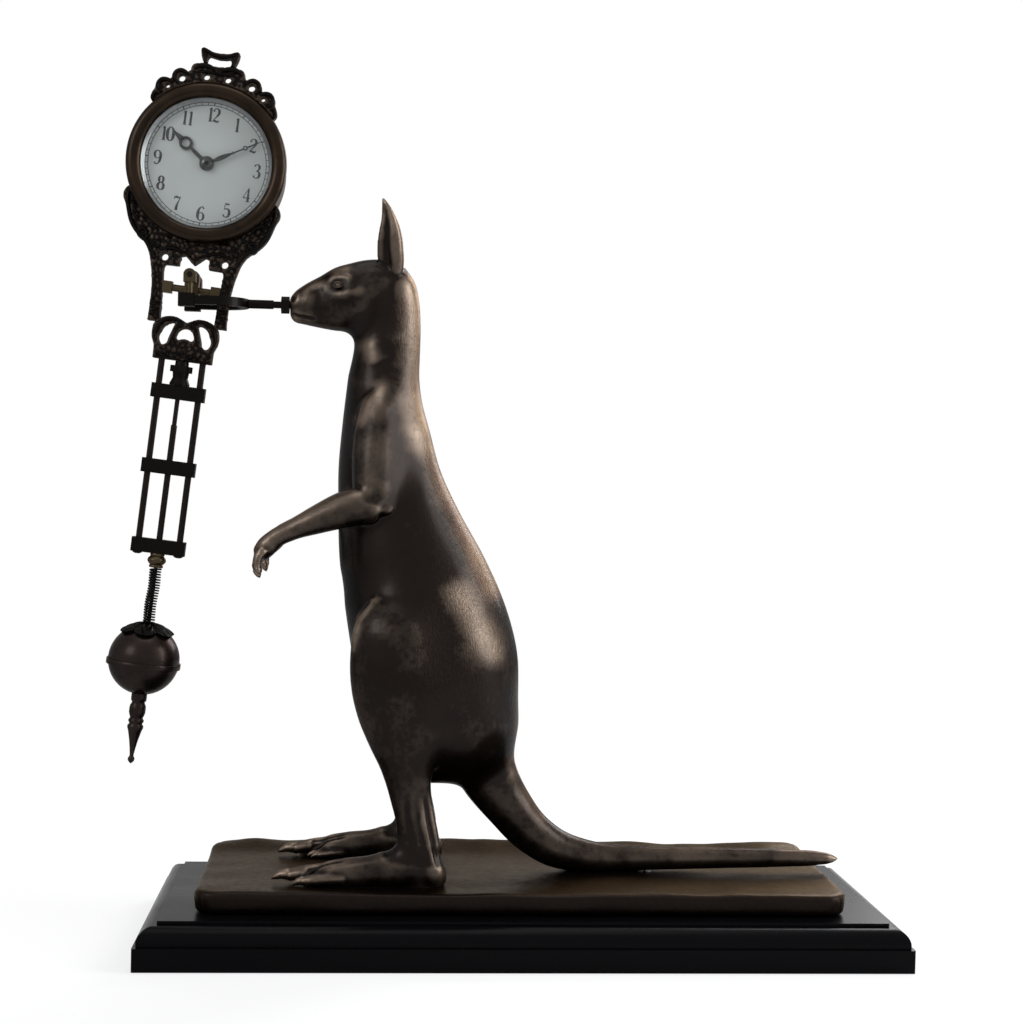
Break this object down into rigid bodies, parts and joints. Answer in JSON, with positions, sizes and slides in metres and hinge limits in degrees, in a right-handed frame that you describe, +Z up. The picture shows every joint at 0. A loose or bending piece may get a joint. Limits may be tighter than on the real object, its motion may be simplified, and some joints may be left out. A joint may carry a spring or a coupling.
{
  "type": "mystery clock",
  "caption": "Free-standing mystery clock: a bronze kangaroo on a black wooden base holds a fork in its mouth, on which a clock with a pendulum frame and ball swings.",
  "frame": {"origin": "middle of the base's underside, where the clock stands", "axes": "+Z up, +X from the hanging clock to the end of the animal's tail, +Y away from whoever reads the dial"},
  "size_m": [0.357, 0.13, 0.3992],
  "materials": {
    "black_wood": "black lacquer, gloss",
    "felt": "plain felt",
    "figure_bronze": "brown patina, waxed",
    "frame_bronze": "dark antique patina",
    "bezel_bronze": "warm brown patina, satin",
    "ball_bronze": "reddish brown patina, satin",
    "worn_brass": "worn brass",
    "movement_brass": "bright brass",
    "dark_steel": "blackened steel",
    "steel": "bright steel",
    "dial_white": "white enamel paint",
    "silvered": "silvered, bright",
    "hand_black": "black paint, satin",
    "clock_glass": "clear, polished"
  },
  "bodies": {
    "stand": {"wooden_base": "black_wood", "felt_underlay": "felt", "bronze_plinth": "figure_bronze", "plinth_screws": "steel", "kangaroo_figure": "figure_bronze", "figure_screws": "steel", "suspension_fork": "frame_bronze", "fork_lock_nut": "worn_brass", "bearing_post_front": "worn_brass", "bearing_post_rear": "worn_brass"},
    "clock": {"pivot_pin": "dark_steel", "hanger_block": "worn_brass", "cross_rod": "worn_brass", "cross_rod_nuts": "worn_brass", "lyre_frame": "frame_bronze", "scroll_bracket": "frame_bronze", "top_crossbar": "frame_bronze", "middle_crossbar": "frame_bronze", "bottom_crossbar": "frame_bronze", "outer_rods": "dark_steel", "rod_cap_nuts": "frame_bronze", "spring_ferrule": "worn_brass", "coil_spring": "dark_steel", "drum_case": "bezel_bronze", "drum_back_cover": "bezel_bronze", "bezel": "bezel_bronze", "dome_glass": "clock_glass", "silvered_ring": "silvered", "dial": "dial_white", "crest": "frame_bronze", "movement_front_plate": "movement_brass", "movement_back_plate": "movement_brass", "movement_pillars": "movement_brass", "minute_wheel_post": "steel"},
    "bob": {"regulating_rod": "dark_steel", "leaf_cap": "frame_bronze", "ball_upper_half": "ball_bronze", "ball_lower_half": "ball_bronze", "finial": "bezel_bronze"},
    "rating": {"rating_nut": "frame_bronze"},
    "centre": {"centre_arbor": "movement_brass", "minute_hand": "hand_black", "hand_nut": "hand_black", "setting_knob": "movement_brass"},
    "hour": {"hour_wheel": "movement_brass", "hour_hand": "hand_black"},
    "minute_pinion": {"minute_wheel": "movement_brass"},
    "barrel": {"mainspring_barrel": "movement_brass"},
    "winder": {"winding_arbor": "steel", "winding_key": "movement_brass"},
    "third": {"third_wheel": "movement_brass"},
    "escape": {"escape_wheel": "movement_brass"},
    "anchor_and_pendulum": {"anchor": "steel", "impulse_pendulum": "movement_brass"}
  },
  "joints": [
    {"name": "swing", "type": "hinge", "parent": "stand", "child": "clock", "pos_m": [-0.15389, 0, 0.29699], "axis": [0, 1, 0], "range_deg": [-16.1, 3.9]},
    {"name": "minute_turn", "type": "hinge", "parent": "clock", "child": "centre", "pos_m": [-0.14838, 0, 0.34769], "axis": [0, 1, 0], "continuous": true},
    {"name": "hour_turn", "type": "hinge", "parent": "clock", "child": "hour", "pos_m": [-0.14838, 0, 0.34769], "axis": [0, 1, 0], "continuous": true},
    {"name": "minute_wheel_turn", "type": "hinge", "parent": "clock", "child": "minute_pinion", "pos_m": [-0.13407, 0, 0.34613], "axis": [0, 1, 0], "continuous": true},
    {"name": "barrel_turn", "type": "hinge", "parent": "clock", "child": "barrel", "pos_m": [-0.16101, 0, 0.34459], "axis": [0, 1, 0], "continuous": true},
    {"name": "winding", "type": "hinge", "parent": "clock", "child": "winder", "pos_m": [-0.16101, 0, 0.34459], "axis": [0, 1, 0], "range_deg": [-2160, 0]},
    {"name": "third_turn", "type": "hinge", "parent": "clock", "child": "third", "pos_m": [-0.13734, 0, 0.35376], "axis": [0, 1, 0], "continuous": true},
    {"name": "escape_turn", "type": "hinge", "parent": "clock", "child": "escape", "pos_m": [-0.14682, 0, 0.36206], "axis": [0, 1, 0], "continuous": true},
    {"name": "anchor_rock", "type": "hinge", "parent": "clock", "child": "anchor_and_pendulum", "pos_m": [-0.14577, 0, 0.3717], "axis": [0, 1, 0], "range_deg": [-4, 4]},
    {"name": "rating_turn", "type": "hinge", "parent": "clock", "child": "rating", "pos_m": [-0.15859, 0, 0.25374], "axis": [0.108, 0, 0.9942], "range_deg": [-1440, 1440]},
    {"name": "bob_slide", "type": "slide", "parent": "clock", "child": "bob", "axis": [0.108, 0, 0.9942], "range_m": [-0.00199, 0.00199], "deforming": ["coil_spring"]}
  ],
  "couplings": [
    {"joint": "hour_turn", "follows": "minute_turn", "ratio": 0.083333},
    {"joint": "minute_wheel_turn", "follows": "minute_turn", "ratio": -0.33333},
    {"joint": "barrel_turn", "follows": "minute_turn", "ratio": -0.25},
    {"joint": "third_turn", "follows": "minute_turn", "ratio": -4},
    {"joint": "escape_turn", "follows": "minute_turn", "ratio": 24},
    {"joint": "rating_turn", "follows": "bob_slide", "rad_per_m": 12566}
  ]
}
